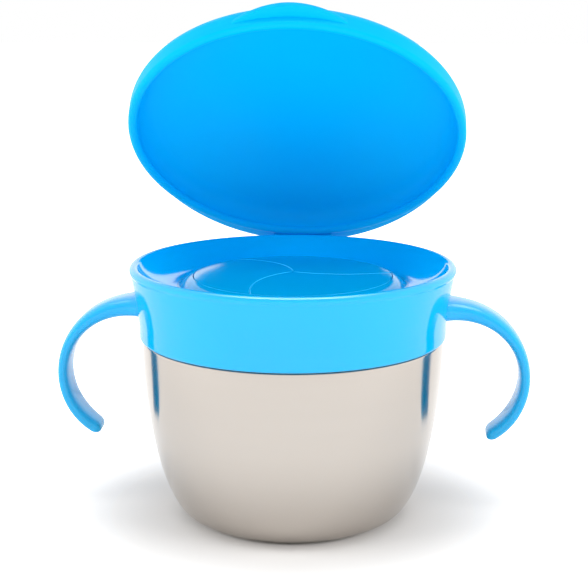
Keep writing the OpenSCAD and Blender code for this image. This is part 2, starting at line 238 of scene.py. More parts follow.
def maths(tree, operation, a, b=0.0, c=None, clamp=False):
    """One Math node. Each of a, b and c is a number or another node's output."""
    node = tree.nodes.new("ShaderNodeMath")
    node.operation = operation
    node.use_clamp = clamp
    for i, value in enumerate((a, b, c)):
        if value is None:
            continue
        if isinstance(value, (int, float)):
            node.inputs[i].default_value = value
        else:
            wire(tree, value, node.inputs[i])
    return node.outputs[0]


# %% [markdown]
# ## The screw thread
#
# The collar screws onto the neck. Two ridges, one outside the neck and one inside the skirt, run
# about half a pitch apart, so that they pass each other as the collar turns and rises. A Screw
# modifier could wind them, but only with blunt ends. A ridge is a small round section that
# follows a helix, which Geometry Nodes does well: the path is an ordinary curve, and the tree
# sweeps the section along it and thins it out at both ends.

# %% A node tree that sweeps a ridge along a path
RIDGE_SIDES, END_SHARE = 12, 0.15


def ridge_tree():
    """Sweeps a round section along a path, full in the middle and thin at both ends."""
    tree = bpy.data.node_groups.new("thread_ridge", "GeometryNodeTree")
    new_socket(tree, "Path", "NodeSocketGeometry")
    new_socket(tree, "Ridge radius", "NodeSocketFloat")
    new_socket(tree, "Run-out", "NodeSocketFloat")
    new_socket(tree, "Material", "NodeSocketMaterial")
    new_socket(tree, "Ridge", "NodeSocketGeometry", output=True)
    nodes = tree.nodes
    given, made = nodes.new("NodeGroupInput"), nodes.new("NodeGroupOutput")
    along = nodes.new("GeometryNodeSplineParameter").outputs["Factor"]
    nearest_end = maths(tree, "MINIMUM", along, maths(tree, "SUBTRACT", 1.0, along))
    swell = maths(tree, "DIVIDE", nearest_end, given.outputs["Run-out"], clamp=True)
    shape = nodes.new("GeometryNodeSetCurveRadius")
    wire(tree, given.outputs["Path"], shape.inputs["Curve"])
    wire(tree, maths(tree, "MULTIPLY_ADD", swell, 1 - END_SHARE, END_SHARE), shape.inputs["Radius"])
    section = nodes.new("GeometryNodeCurvePrimitiveCircle")
    section.inputs["Resolution"].default_value = RIDGE_SIDES
    wire(tree, given.outputs["Ridge radius"], section.inputs["Radius"])
    sweep = nodes.new("GeometryNodeCurveToMesh")
    sweep.inputs["Fill Caps"].default_value = True
    wire(tree, shape.outputs["Curve"], sweep.inputs["Curve"])
    wire(tree, section.outputs["Curve"], sweep.inputs["Profile Curve"])
    real = nodes.new("GeometryNodeRealizeInstances")
    wire(tree, sweep.outputs["Mesh"], real.inputs["Geometry"])
    paint = nodes.new("GeometryNodeSetMaterial")
    wire(tree, real.outputs["Geometry"], paint.inputs["Geometry"])
    wire(tree, given.outputs["Material"], paint.inputs["Material"])
    wire(tree, paint.outputs["Geometry"], made.inputs["Ridge"])
    return tree


RIDGE_TREE = ridge_tree()
print("the ridge's tree has", len(RIDGE_TREE.nodes), "nodes")

# %% Sweep one ridge and make it a plain mesh
THREAD_PITCH, THREAD_START, RUN_OUT, STEPS_A_TURN = 5.0, 10, 0.08, 96


def plain_mesh(live):
    """What an object's modifiers make of it, as a mesh without modifiers."""
    seen = live.evaluated_get(bpy.context.evaluated_depsgraph_get())
    return bpy.data.meshes.new_from_object(seen)


def thread_ridge(name, radius, low_z, turns, ridge_r, material):
    """A ridge of the thread: right-handed, rising by the pitch in each turn."""
    steps = int(STEPS_A_TURN * turns)
    curve = bpy.data.curves.new(name + "_path", "CURVE")
    curve.dimensions = "3D"
    spline = curve.splines.new("POLY")
    spline.points.add(steps)
    for i in range(steps + 1):
        a = radians(THREAD_START) + 2 * pi * turns * i / steps
        spline.points[i].co = (radius * cos(a) * MM, radius * sin(a) * MM,
                               (low_z + THREAD_PITCH * turns * i / steps) * MM, 1)
    path = placed(name + "_path", curve)
    modifier = path.modifiers.new("ridge", "NODES")
    modifier.node_group = RIDGE_TREE
    sockets = {socket.name: socket.identifier for socket in RIDGE_TREE.interface.items_tree
               if socket.in_out == "INPUT"}
    modifier[sockets["Ridge radius"]] = ridge_r * MM
    modifier[sockets["Run-out"]] = RUN_OUT
    modifier[sockets["Material"]] = material
    mesh = plain_mesh(path)
    bpy.data.objects.remove(path)
    mesh.shade_smooth()
    return placed(name, mesh)


# %% [markdown]
# ## Finishes
#
# The bowl has three blues: a glossy one on the collar and handles, a satin one on the lid, and a
# softer, darker one in the mouth. A paler blue on the mouth's cut faces is painted light: it
# stands for the light that shines through the thin edges. The seal is milky silicone, and the
# bowl and the pin are steel. Two effects are shared, so each is a node group. One is the faint
# waviness and grain that every moulded surface has, which breaks up reflections. The other is
# the brushing of turned steel: long streaks round the axis, very fine up and down, made by
# stretching a noise.

# %% The waviness and grain of a moulded surface
def surface_unevenness():
    """A slow wave with fine grain on it, as a height, and the wave alone, as a patchy mask."""
    tree = bpy.data.node_groups.new("surface_unevenness", "ShaderNodeTree")
    new_socket(tree, "Wave scale", "NodeSocketFloat", value=60)
    new_socket(tree, "Grain scale", "NodeSocketFloat", value=1800)
    new_socket(tree, "Grain share", "NodeSocketFloat", value=0.2)
    new_socket(tree, "Height", "NodeSocketFloat", output=True)
    new_socket(tree, "Patch", "NodeSocketFloat", output=True)
    given, made = tree.nodes.new("NodeGroupInput"), tree.nodes.new("NodeGroupOutput")
    place = tree.nodes.new("ShaderNodeTexCoord")
    noises = []
    for scale in ("Wave scale", "Grain scale"):
        noise = tree.nodes.new("ShaderNodeTexNoise")
        noise.inputs["Detail"].default_value = 2
        wire(tree, place.outputs["Object"], noise.inputs["Vector"])
        wire(tree, given.outputs[scale], noise.inputs["Scale"])
        noises.append(noise.outputs["Fac"])
    share = given.outputs["Grain share"]
    rest = maths(tree, "SUBTRACT", 1.0, share)
    height = maths(tree, "MULTIPLY_ADD", noises[0], rest, maths(tree, "MULTIPLY", noises[1], share))
    wire(tree, height, made.inputs["Height"])
    wire(tree, noises[0], made.inputs["Patch"])
    return tree


UNEVENNESS = surface_unevenness()


# %% The brushing of turned steel
def turned_brushing():
    """Fine streaks round the axis, and slower bands of the same kind."""
    tree = bpy.data.node_groups.new("turned_brushing", "ShaderNodeTree")
    new_socket(tree, "Round scale", "NodeSocketFloat", value=18)
    new_socket(tree, "Fineness", "NodeSocketFloat", value=5200)
    new_socket(tree, "Streak", "NodeSocketFloat", output=True)
    new_socket(tree, "Band", "NodeSocketFloat", output=True)
    given, made = tree.nodes.new("NodeGroupInput"), tree.nodes.new("NodeGroupOutput")
    place = tree.nodes.new("ShaderNodeTexCoord")
    split = tree.nodes.new("ShaderNodeSeparateXYZ")
    wire(tree, place.outputs["Object"], split.inputs[0])
    coarse = given.outputs["Round scale"]
    for name, share in (("Streak", 1.0), ("Band", 0.06)):
        fine = maths(tree, "MULTIPLY", given.outputs["Fineness"], share)
        join = tree.nodes.new("ShaderNodeCombineXYZ")
        for axis, scale in (("X", coarse), ("Y", coarse), ("Z", fine)):
            wire(tree, maths(tree, "MULTIPLY", split.outputs[axis], scale), join.inputs[axis])
        noise = tree.nodes.new("ShaderNodeTexNoise")
        noise.inputs["Scale"].default_value = 1
        noise.inputs["Detail"].default_value = 3
        wire(tree, join.outputs[0], noise.inputs["Vector"])
        wire(tree, noise.outputs["Fac"], made.inputs[name])
    return tree


BRUSHING = turned_brushing()


# %% What every material needs
def finish_tree(name):
    """A new material, its node tree and its Principled BSDF."""
    material = bpy.data.materials.new(name)
    material.use_nodes = True
    return material, material.node_tree, material.node_tree.nodes["Principled BSDF"]


def effect(tree, group, **values):
    """A place for one group's effect in a material, with the values that it has there."""
    node = tree.nodes.new("ShaderNodeGroup")
    node.node_tree = group
    for name, value in values.items():
        node.inputs[name.replace("_", " ")].default_value = value
    return node


def bump(tree, shader, height, distance_mm):
    """Lets a height of so many millimetres tilt the surface that light meets."""
    node = tree.nodes.new("ShaderNodeBump")
    node.inputs["Distance"].default_value = distance_mm * MM
    wire(tree, height, node.inputs["Height"])
    wire(tree, node.outputs["Normal"], shader.inputs["Normal"])


MIX_FACTOR, MIX_A, MIX_B, MIX_RESULT = 0, 6, 7, 2      # a Mix node's sockets for colours


def mixed_colour(tree, factor, low, high):
    """A colour between two others, as far along as the factor says."""
    mix = tree.nodes.new("ShaderNodeMix")
    mix.data_type = "RGBA"
    mix.inputs[MIX_A].default_value = (*low, 1)
    mix.inputs[MIX_B].default_value = (*high, 1)
    wire(tree, factor, mix.inputs[MIX_FACTOR])
    return mix.outputs[MIX_RESULT]

# %% [markdown]
# Plastic first. It is moulded and glossy, so its colour is even, its reflections are clear, and
# all that the surface adds is a slow waviness and a hint of grain. The lid's satin finish blurs
# its reflections. The mouth is moulded in a rubbery material, which is duller and darker. Where
# its edges are thin, light passes through them, and that light is painted in as a paler blue on
# the cut faces. One plain blue would do from far away, but these small differences tell the
# parts apart.

# %% Blue plastic, soft blue and silicone
MOULDED_GRAIN = 0.15


def moulded(name, low, high, roughness, wave, grain, height_mm, spread=0.04, shine=0.5):
    """A moulded finish whose colour and roughness drift slightly over the surface."""
    material, tree, shader = finish_tree(name)
    skin = effect(tree, UNEVENNESS, Wave_scale=wave, Grain_scale=grain, Grain_share=MOULDED_GRAIN)
    wire(tree, mixed_colour(tree, skin.outputs["Patch"], low, high), shader.inputs["Base Color"])
    wire(tree, maths(tree, "MULTIPLY_ADD", skin.outputs["Patch"], spread, roughness - spread / 2),
         shader.inputs["Roughness"])
    bump(tree, shader, skin.outputs["Height"], height_mm)
    shader.inputs["Specular IOR Level"].default_value = shine
    print("finish:", name)
    return material


BLUE = moulded("glossy_blue_plastic", (0.0, 0.435, 0.87), (0.0, 0.455, 0.90), roughness=0.07,
               wave=45, grain=1500, height_mm=0.03)
LID_BLUE = moulded("satin_blue_lid", (0.0, 0.455, 0.90), (0.0, 0.475, 0.92), roughness=0.42,
                   wave=45, grain=1500, height_mm=0.05, shine=0.05)
SOFT_BLUE = moulded("soft_blue_mouth", (0.0, 0.325, 0.61), (0.0, 0.34, 0.64), roughness=0.12,
                    wave=80, grain=2600, height_mm=0.04, shine=0.3)
# Painted light: a paler blue for the mouth's cut faces, standing for the light that shines through
# the thin edges.
THIN_EDGE_PAINTED_LIGHT_BLUE = moulded("cut_edge_painted_light", (0.02, 0.52, 0.86), (0.03, 0.54, 0.88), roughness=0.2,
                   wave=80, grain=2600, height_mm=0.02, shine=0.4)
SILICONE = moulded("milky_silicone", (0.74, 0.76, 0.78), (0.80, 0.82, 0.84), roughness=0.48,
                   wave=90, grain=2400, height_mm=0.06)

# %% [markdown]
# Brushed steel reflects its room as a blur that is much longer across the brushing than along
# it. The brushing runs round the bowl, so a dark handle beside it shows as a tall soft stripe.
# Thousands of real scratches would do that too, but slowly. The anisotropy of the shader gives
# the stretch at once, and the streaks themselves only vary the roughness and the height.

# %% Steel for the bowl and the pin
STREAK_SPREAD, ROUND_THE_AXIS = 0.05, 0.25


def brushed_steel(name, low, high, roughness, stretch, height_mm):
    """Steel brushed round the upright axis. The stretch is 0 for a plain blur, up to 1."""
    material, tree, shader = finish_tree(name)
    brushed = effect(tree, BRUSHING)
    wire(tree, mixed_colour(tree, brushed.outputs["Band"], low, high), shader.inputs["Base Color"])
    wire(tree, maths(tree, "MULTIPLY_ADD", brushed.outputs["Streak"], STREAK_SPREAD,
                     roughness - STREAK_SPREAD / 2), shader.inputs["Roughness"])
    bump(tree, shader, brushed.outputs["Streak"], height_mm)
    shader.inputs["Metallic"].default_value = 1.0
    shader.inputs["Anisotropic"].default_value = stretch
    shader.inputs["Anisotropic Rotation"].default_value = ROUND_THE_AXIS
    print("finish:", name)
    return material


STEEL = brushed_steel("brushed_steel_of_the_bowl", (0.515, 0.474, 0.433), (0.535, 0.494, 0.453),
                      roughness=0.17, stretch=0.98, height_mm=0.0008)
PIN_STEEL = brushed_steel("steel_of_the_pin", (0.55, 0.54, 0.53), (0.62, 0.61, 0.60),
                          roughness=0.28, stretch=0.0, height_mm=0.003)


# %% Dress a piece
def dressed(piece, material, body, slot, *stands_for):
    """Gives a finished piece its material, its body and the nodes that it replaces. The slot is not
    used.
    """
    piece.data.materials.clear()
    piece.data.materials.append(material)
    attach(piece, body)
    if stands_for:
        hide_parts(*stands_for)
    print(piece.name, len(piece.data.polygons), "faces, rides on", body)


# %% Finish the bowl and its thread
dressed(bowl, STEEL, "bowl", "steel", "steel_bowl")
neck_thread = thread_ridge("neck_thread", NECK_R, low_z=step_z + 2.2, turns=1.5, ridge_r=0.42,
                           material=STEEL)
dressed(neck_thread, STEEL, "bowl", "steel")

# %% [markdown]
# ## The seal
#
# A flat silicone ring lies in a groove under the dish. It keeps crumbs off the thread, and its
# rounded corners are what the rolled steel edge closes on. A bevelled tube would look the same,
# but a turned outline gives each corner its own radius with no modifier.

# %% Turn the seal
def rounded_box(r0, z0, r1, z1, edge, n=6):
    """A rectangle in (radius, height) with rounded corners."""
    return (arc((r1 - edge, z0 + edge), edge, -90, 0, n)
            + arc((r1 - edge, z1 - edge), edge, 0, 90, n)
            + arc((r0 + edge, z1 - edge), edge, 90, 180, n)
            + arc((r0 + edge, z0 + edge), edge, 180, 270, n))


SEAL_EDGE_R = 0.3
seal_low = SEAT_Z - TOUCH - SEAL_T
seal_outline = rounded_box(SEAL_IN_R, seal_low, SEAL_OUT_R, seal_low + SEAL_T, SEAL_EDGE_R)
seal = turned("seal_ring", seal_outline, steps=160)
dressed(seal, SILICONE, "seal", "silicone", "mouth_seal")

# %% [markdown]
# ## The collar
#
# One outline makes the skirt, the flare, the rolled rim and the dish, as one moulding. The flare
# is a free curve that leans outwards until it runs in under the roll, and the roll is a plain
# arc, so the rim gets one bright line along its crest and a darker one underneath, all the way
# round. Separate rings could be joined instead, but they would show a seam in the gloss.

# %% Turn the collar
ROLL_FROM, ROLL_TO = -42, 150
STRAIGHT_SHARE, FLARE_LEAN, FLARE_PULL, FLARE_WAY = 0.17, 0.25, 4.6, 79
DISH_PULL, DISH_FLAT = 4.4, 3.6
WEB_EDGE_R, BORE_EDGE_R, SKIRT_EDGE_R = 0.3, 0.4, 0.9
roll_foot = np.array(ROLL_MID) + polar(ROLL_FROM, ROLL_R)
roll_head = np.array(ROLL_MID) + polar(ROLL_TO, ROLL_R)
flare_z = SKIRT_Z + COLLAR_H * STRAIGHT_SHARE
collar_outline = (
    # under the dish and over the seal
    arc((MOUTH_R + WEB_EDGE_R, WEB_Z + WEB_EDGE_R), WEB_EDGE_R, 180, 270, 4)
    + corners((SEAL_IN_R - RUN_GAP, WEB_Z), (SEAL_IN_R - RUN_GAP, SEAT_Z), (SKIRT_BORE_R, SEAT_Z))
    # down the skirt's bore, and up its outside into the flare
    + arc((SKIRT_BORE_R + BORE_EDGE_R, SKIRT_Z + BORE_EDGE_R), BORE_EDGE_R, 180, 270, 5)
    + arc((SKIRT_R - SKIRT_EDGE_R, SKIRT_Z + SKIRT_EDGE_R), SKIRT_EDGE_R, -90, 0, 10)
    + free_curve((SKIRT_R, flare_z), (SKIRT_R + FLARE_LEAN, flare_z + FLARE_PULL),
                 roll_foot - polar(FLARE_WAY, FLARE_PULL), roll_foot, 40)
    # over the roll, and down the dish
    + arc(ROLL_MID, ROLL_R, ROLL_FROM, ROLL_TO, 28)[1:]
    + free_curve(roll_head, roll_head + polar(ROLL_TO + 90, DISH_PULL),
                 (MOUTH_R + DISH_FLAT, DISH_Z), (MOUTH_R, DISH_Z), 60)[1:]
)
collar = turned("collar_shell", collar_outline, steps=320, smooth_below=50)
dressed(collar, BLUE, "collar", "blue_plastic", "collar")
skirt_thread = thread_ridge("skirt_thread", SKIRT_BORE_R, low_z=SKIRT_Z + 4.6, turns=1.25,
                            ridge_r=0.4, material=BLUE)
dressed(skirt_thread, BLUE, "collar", "blue_plastic")

# %% [markdown]
# ## The handles
#
# Each handle is an open hook. Its outside edge follows one circle and its inside edge another,
# so it is slimmest at its widest reach and thickens towards root and tip. A curve with a bevel
# would keep one thickness all the way, so rings of a squarish round section are strung along the
# path instead. At the root the rings swell, as a moulded foot does where it runs into the
# collar, and at the tip they close in a half round.

# %% The section of the hook, from root to tip
GRIP_FAR, GRIP_Z = SKIRT_R + 25.1, CUP_H - 34
outer_mid = np.array([GRIP_FAR - GRIP_OUTER_R, GRIP_Z])
inner_mid = np.array([GRIP_FAR - GRIP_T - GRIP_INNER_R, GRIP_Z + 0.5])
ROOT_TURN, ROOT_SWELL_OUT, ROOT_SWELL_IN, ROOT_SPREAD = 93, 0.7, 1.1, 0.28
TIP_TAPER, TIP_INSIDE, TIP_NARROW, TIP_LENGTH = 0.5, 0.5, 0.22, 1.3


def grip_section(u):
    """The middle of the hook, half its thickness and half its width, u of the way to the tip."""
    d = polar(ROOT_TURN - u * (ROOT_TURN + GRIP_END))
    offset = inner_mid - outer_mid
    along = float(offset @ d)
    inner_r = along + sqrt(along * along - float(offset @ offset) + GRIP_INNER_R ** 2)
    back = 1 - u
    taper = TIP_TAPER * u ** 5
    out = outer_mid + (GRIP_OUTER_R + ROOT_SWELL_OUT * back ** 20 - taper) * d
    inn = outer_mid + (inner_r + ROOT_SWELL_IN * back ** 8 + taper + TIP_INSIDE * u ** 7) * d
    width = GRIP_W / 2 * (1 + ROOT_SPREAD * back ** 16 - TIP_NARROW * u ** 9)
    return (out + inn) / 2, (out - inn) / 2, width


# %% Rings along the hook
GRIP_SIDES, GRIP_RINGS, TIP_RINGS = 48, 84, 14
FLAT_SIDES, FLAT_FACES = 0.75, 0.62
ROOT_SUNK, ROOT_GROWN, ROOT_CROWDING, TIP_LEFT = 1.1, 1.02, 1.15, 0.02


def grip_ring(mid, half, width):
    """A ring between a circle and a square, across the hook."""
    points = []
    for i in range(GRIP_SIDES):
        a = 2 * pi * i / GRIP_SIDES
        c = np.sign(cos(a)) * abs(cos(a)) ** FLAT_SIDES
        s = np.sign(sin(a)) * abs(sin(a)) ** FLAT_FACES
        p = mid + half * c
        points.append((p[0], width * s, p[1]))
    return points


def grip_rings():
    """From a ring sunk in the collar, along the hook, and round its tip."""
    mid, half, width = grip_section(0)
    rings = [grip_ring(mid - (ROOT_SUNK, 0), half * ROOT_GROWN, width * ROOT_GROWN)]
    for k in range(GRIP_RINGS + 1):
        rings.append(grip_ring(*grip_section((k / GRIP_RINGS) ** ROOT_CROWDING)))
    mid, half, width = grip_section(1)
    ahead = TIP_LENGTH * np.array([half[1], -half[0]])
    thick = float(np.linalg.norm(half))
    for k in range(1, TIP_RINGS + 1):
        t = pi / 2 * k / TIP_RINGS
        rings.append(grip_ring(mid + ahead * sin(t), half * max(cos(t), TIP_LEFT),
                               width - thick * (1 - cos(t))))
    return rings


# %% Skin the rings into a handle
def skinned(name, rings, mirrored=False, smooth_below=50):
    """A closed skin over rings of as many points each, with flat ends."""
    m = len(rings[0])
    verts = [(-x if mirrored else x, y, z) for ring in rings for x, y, z in ring]
    faces = [tuple(range(m)), tuple(range(len(verts) - m, len(verts)))]
    for i in range(len(rings) - 1):
        for j in range(m):
            k = (j + 1) % m
            faces.append((i * m + j, (i + 1) * m + j, (i + 1) * m + k, i * m + k))
    return add_piece(name, verts, faces, smooth_below)


for side, mirrored in (("left", True), ("right", False)):
    handle = skinned(f"{side}_hook_handle", grip_rings(), mirrored)
    dressed(handle, BLUE, "collar", "blue_plastic", f"{side}_handle")

# %% [markdown]
# ## The hinge
#
# Two ears stand out of the back of the skirt, the lid's knuckle sits between them, and a steel
# pin runs through all three. A Boolean could drill the bore, but it leaves ragged faces. So an
# ear is an outline with its bore already in it, pulled to a thickness. The outline is walked
# round the bore, so that each outer point has a partner on the bore and the faces between them
# stay clean. A bevel then takes the sharpness off the edges.

# %% Round a piece's sharp edges
def rounded(piece, edge, angle=50, segments=3, smooth_below=40):
    """Rounds the sharp edges of a piece with a bevel, and makes the result its mesh."""
    bevel = piece.modifiers.new("edge", "BEVEL")
    bevel.width = edge * MM
    bevel.segments = segments
    bevel.limit_method = "ANGLE"
    bevel.angle_limit = radians(angle)
    mesh = plain_mesh(piece)
    piece.modifiers.clear()
    piece.data = mesh
    mesh.shade_smooth()
    mesh.set_sharp_from_angle(angle=radians(smooth_below))
    return piece


# %% A bored outline, pulled along the pin
BLOCK_STEP, BLOCK_EDGE_R = 0.8, 0.45


def in_small_steps(outline):
    """The same closed outline, with its points about a step apart."""
    dense = []
    for i, p in enumerate(outline):
        q = outline[(i + 1) % len(outline)]
        parts = max(1, int(np.linalg.norm(q - p) / BLOCK_STEP))
        dense += [p + (q - p) * k / parts for k in range(parts)]
    return dense


def bored_block(name, outline, bore_r, x0, x1, place=lambda v: v):
    """An outline in (y, z) with a bore about the pin, from x0 to x1, with rounded edges."""
    pin_mid = np.array([HINGE_Y, HINGE_Z])
    outer = in_small_steps(outline)
    bore = [pin_mid + (p - pin_mid) / np.linalg.norm(p - pin_mid) * bore_r for p in outer]
    n = len(outer)
    verts = [place((x, p[0], p[1])) for x in (x0, x1) for p in outer + bore]
    faces = []
    for i in range(n):
        j = (i + 1) % n
        faces += [(i, j, n + j, n + i), (2 * n + i, 3 * n + i, 3 * n + j, 2 * n + j),
                  (i, 2 * n + i, 2 * n + j, j), (n + i, n + j, 3 * n + j, 3 * n + i)]
    return rounded(add_piece(name, verts, faces), BLOCK_EDGE_R)


# %% The collar's ears
EAR_ROOT_Y, EAR_BORE_GAP = SKIRT_R - 1.2, 0.01
ear_in = KNUCKLE_W / 2 + RUN_GAP
ear_outline = (corners((EAR_ROOT_Y, HINGE_Z - 2 * KNUCKLE_R))
               + arc((HINGE_Y, HINGE_Z), KNUCKLE_R, -90, 90, 20)
               + corners((EAR_ROOT_Y, HINGE_Z + KNUCKLE_R)))
for side, x0, x1 in (("left", -ear_in - EAR_W, -ear_in), ("right", ear_in, ear_in + EAR_W)):
    ear = bored_block(f"{side}_hinge_ear", ear_outline, PIN_R + EAR_BORE_GAP, x0, x1)
    dressed(ear, BLUE, "collar", "blue_plastic")

# %% Turn the pin and lay it in the bores
PIN_EDGE_R = 0.35
PIN_PLACE = Matrix.Translation((0, HINGE_Y * MM, HINGE_Z * MM))
pin_end = ear_in + EAR_W - TOUCH
pin_outline = (corners((0, -pin_end))
               + arc((PIN_R - PIN_EDGE_R, -pin_end + PIN_EDGE_R), PIN_EDGE_R, -90, 0, 6)
               + arc((PIN_R - PIN_EDGE_R, pin_end - PIN_EDGE_R), PIN_EDGE_R, 0, 90, 6)
               + corners((0, pin_end)))
pin = turned("hinge_pin_rod", pin_outline, steps=48)
pin.data.transform(PIN_PLACE @ Matrix.Rotation(pi / 2, 4, "Y"))
dressed(pin, PIN_STEEL, "collar", "pin_steel", "hinge_pin")

# %% [markdown]
# ## The soft mouth
#
# A disc of soft plastic is clipped into the dish. It bulges into a low dome with a round
# shoulder, and its middle is cut into three flaps by slits that swirl as they run outwards. A
# hand pushes the flaps down and they close again behind it. The slits could be drawn as dark
# lines on one dome, but then nothing could bend. So the ring outside the flaps is turned, and
# each flap is a sheet of its own. The dome's shoulder is a little fuller than the solid's, as
# soft mouldings are.

# %% Give some faces another finish
def second_finish(piece, material, which):
    """Gives some of a piece's faces another material. which holds 0 or 1 for each face."""
    piece.data.materials.append(material)
    piece.data.polygons.foreach_set("material_index", which)


# %% Turn the ring of the mouth
SHOULDER_FULLNESS = 3.4
RING_WALL, RING_FOOT_W, RING_FOOT_T, RING_SHY = 0.6, 2.6, 1.0, 0.01


def dome_z(r):
    """The top of the dome: nearly flat in the middle, then falling away over its shoulder."""
    fall = DOME_H - DOME_BOW * (DOME_R / FLAT_R) ** 2
    past = max(r - FLAT_R, 0) / SHOULDER_W
    return DISH_Z + DOME_H - DOME_BOW * (r / FLAT_R) ** 2 - fall * past ** SHOULDER_FULLNESS


def on_dome(r, depth=0.0):
    """A point of the outline on the dome, or some way below it."""
    return np.array((r, dome_z(r) - depth))


ring_r, ring_top, ring_low = MOUTH_R - RING_SHY, DISH_Z - RING_SHY, WEB_Z - TOUCH - RING_FOOT_T
ring_outline = (
    # growing thicker under the dome, then the foot that clips into the dish
    [on_dome(r, FLAP_T * (1 + (r - FLAP_R) / 4)) for r in np.linspace(FLAP_R, FLAP_R + 2, 6)]
    + corners((ring_r - RING_WALL, ring_low), (ring_r + RING_FOOT_W, ring_low),
              (ring_r + RING_FOOT_W, ring_low + RING_FOOT_T), (ring_r, ring_low + RING_FOOT_T),
              (ring_r, ring_top))
    # a soft crease where the flat meets the dome, then up the dome to the flaps
    + free_curve((DOME_R + 0.5, ring_top), (DOME_R + 0.1, ring_top), on_dome(DOME_R - 0.2),
                 on_dome(DOME_R - 0.7), 8)
    + [on_dome(r) for r in np.linspace(DOME_R - 0.9, FLAP_R, 20)]
)
mouth_ring = turned("soft_mouth_ring", ring_outline, smooth_below=40)
dressed(mouth_ring, SOFT_BLUE, "collar", "soft_blue", "flap_ring")
# Painted light: the ring's inner edge, which faces the flap roots, gets the paler blue that stands
# for light shining through the thin cut edges.
inside_r = (FLAP_R + 0.02) * MM
second_finish(mouth_ring, THIN_EDGE_PAINTED_LIGHT_BLUE, [int(sqrt(f.center.x ** 2 + f.center.y ** 2) < inside_r)
                                     for f in mouth_ring.data.polygons])

# %% [markdown]
# A flap lies between two of the slits. It is laid out in rows of equal radius, each row running
# from one slit to the next, first on top of the dome and then underneath it. Close to a slit the
# top row drops in a quarter round, which makes the cut edge soft. At its root a flap stops a
# little short of the ring, with room to bend both up and down. The cut faces get the paler blue,
# which is painted light for the light that shines through the thin edges.

# %% Where a flap's points lie
SLIT_W, SLIT_SWIRL, FIRST_SLIT = 0.05, 35.0, 95.0
FLAP_TIP_R, CUT_EDGE_R, CUT_STEPS = 0.25, 0.3, 5
ROOT_ROOM_TOP, ROOT_ROOM_UNDER = 0.32, 0.12
FLAP_ROWS, FLAP_ACROSS, LEAST_TURN_R = 44, 40, 1.6


def slit_angle(k, r, side):
    """Where one side (-1) or the other (1) of the slit number k lies at a radius."""
    return radians(FIRST_SLIT + 120 * k + SLIT_SWIRL * r / FLAP_R) + side * asin(SLIT_W / 2 / r)


def flap_columns():
    """Places across a flap: how far in from its left or right edge, and the share of its width."""
    rounds = [CUT_EDGE_R * (1 - cos(pi / 2 * i / CUT_STEPS)) for i in range(CUT_STEPS + 1)]
    return ([(d, 0) for d in rounds] + [(None, i / FLAP_ACROSS) for i in range(1, FLAP_ACROSS)]
            + [(d, 1) for d in reversed(rounds)])


def flap_row(k, r, thickness):
    """The points of one row, on the dome or a thickness below it."""
    a0, a1 = slit_angle(k, r, 1), slit_angle(k + 1, r, -1)
    edge = CUT_EDGE_R / max(r, LEAST_TURN_R)
    points = []
    for inset, share in flap_columns():
        if inset is None:
            a, drop = a0 + edge + share * (a1 - a0 - 2 * edge), 0
        else:
            turn = inset / max(r, LEAST_TURN_R)
            a = a1 - turn if share else a0 + turn
            drop = CUT_EDGE_R - sqrt(CUT_EDGE_R ** 2 - (CUT_EDGE_R - inset) ** 2)
        points.append((r * cos(a), r * sin(a), dome_z(r) - (thickness or drop)))
    return points


# %% Skin a flap and mark its cut faces
def flap_sheet(name, k):
    """A flap between the slits k and k + 1, and a 1 for each of its faces that is cut, else a 0."""
    verts = []
    for thickness, room in ((0, ROOT_ROOM_TOP), (FLAP_T, ROOT_ROOM_UNDER)):
        for r in np.linspace(FLAP_TIP_R, FLAP_R - room, FLAP_ROWS + 1):
            verts += flap_row(k, r, thickness)
    w = len(flap_columns())
    under = (FLAP_ROWS + 1) * w
    faces, cut = [], []
    for j in range(FLAP_ROWS):
        for i in range(w - 1):
            a = j * w + i
            b = under + a
            faces += [(a, a + 1, a + w + 1, a + w), (b, b + w, b + w + 1, b + 1)]
            cut += [int(i < CUT_STEPS or i > w - 2 - CUT_STEPS), 0]
        a, b = j * w, j * w + w - 1
        faces += [(a, a + w, under + a + w, under + a), (b, under + b, under + b + w, b + w)]
        cut += [1, 1]
    for i in range(w - 1):
        b = FLAP_ROWS * w + i
        faces += [(i, under + i, under + i + 1, i + 1), (b, b + 1, under + b + 1, under + b)]
        cut += [0, 1]
    return add_piece(name, verts, faces), cut


for k in range(3):
    flap, cut = flap_sheet(f"soft_flap_{k + 1}", k)
    dressed(flap, SOFT_BLUE, f"flap_{k + 1}", "soft_blue", f"flap_{k + 1}")
    # Painted light: the cut faces get the paler blue that stands for light shining through the thin
    # edges.
    second_finish(flap, THIN_EDGE_PAINTED_LIGHT_BLUE, cut)

# %% [markdown]
# ## The lid
#
# The lid is a shallow dome with a thick round lip that goes round the collar's rim with a small
# gap. It could be built standing open, but it is drawn closed, where it is level and easy to
# measure, and each of its points is then turned open about the pin. Two crescents grow out of
# its lip: the thumb tab at the front, and a broad shoulder at the back that carries the knuckle.

# %% Turn points open about the pin
def opened(v):
    """A point of the closed lid, in millimetres, where it is when the lid stands open."""
    a = radians(-LID_OPEN)
    y, z = v[1] - HINGE_Y, v[2] - HINGE_Z
    return (v[0], HINGE_Y + y * cos(a) - z * sin(a), HINGE_Z + y * sin(a) + z * cos(a))


OPEN_LID = PIN_PLACE @ Matrix.Rotation(radians(-LID_OPEN), 4, "X") @ PIN_PLACE.inverted()
print("the front of the open lid is", round(opened((0, -LID_R, LID_Z))[2]), "mm high")

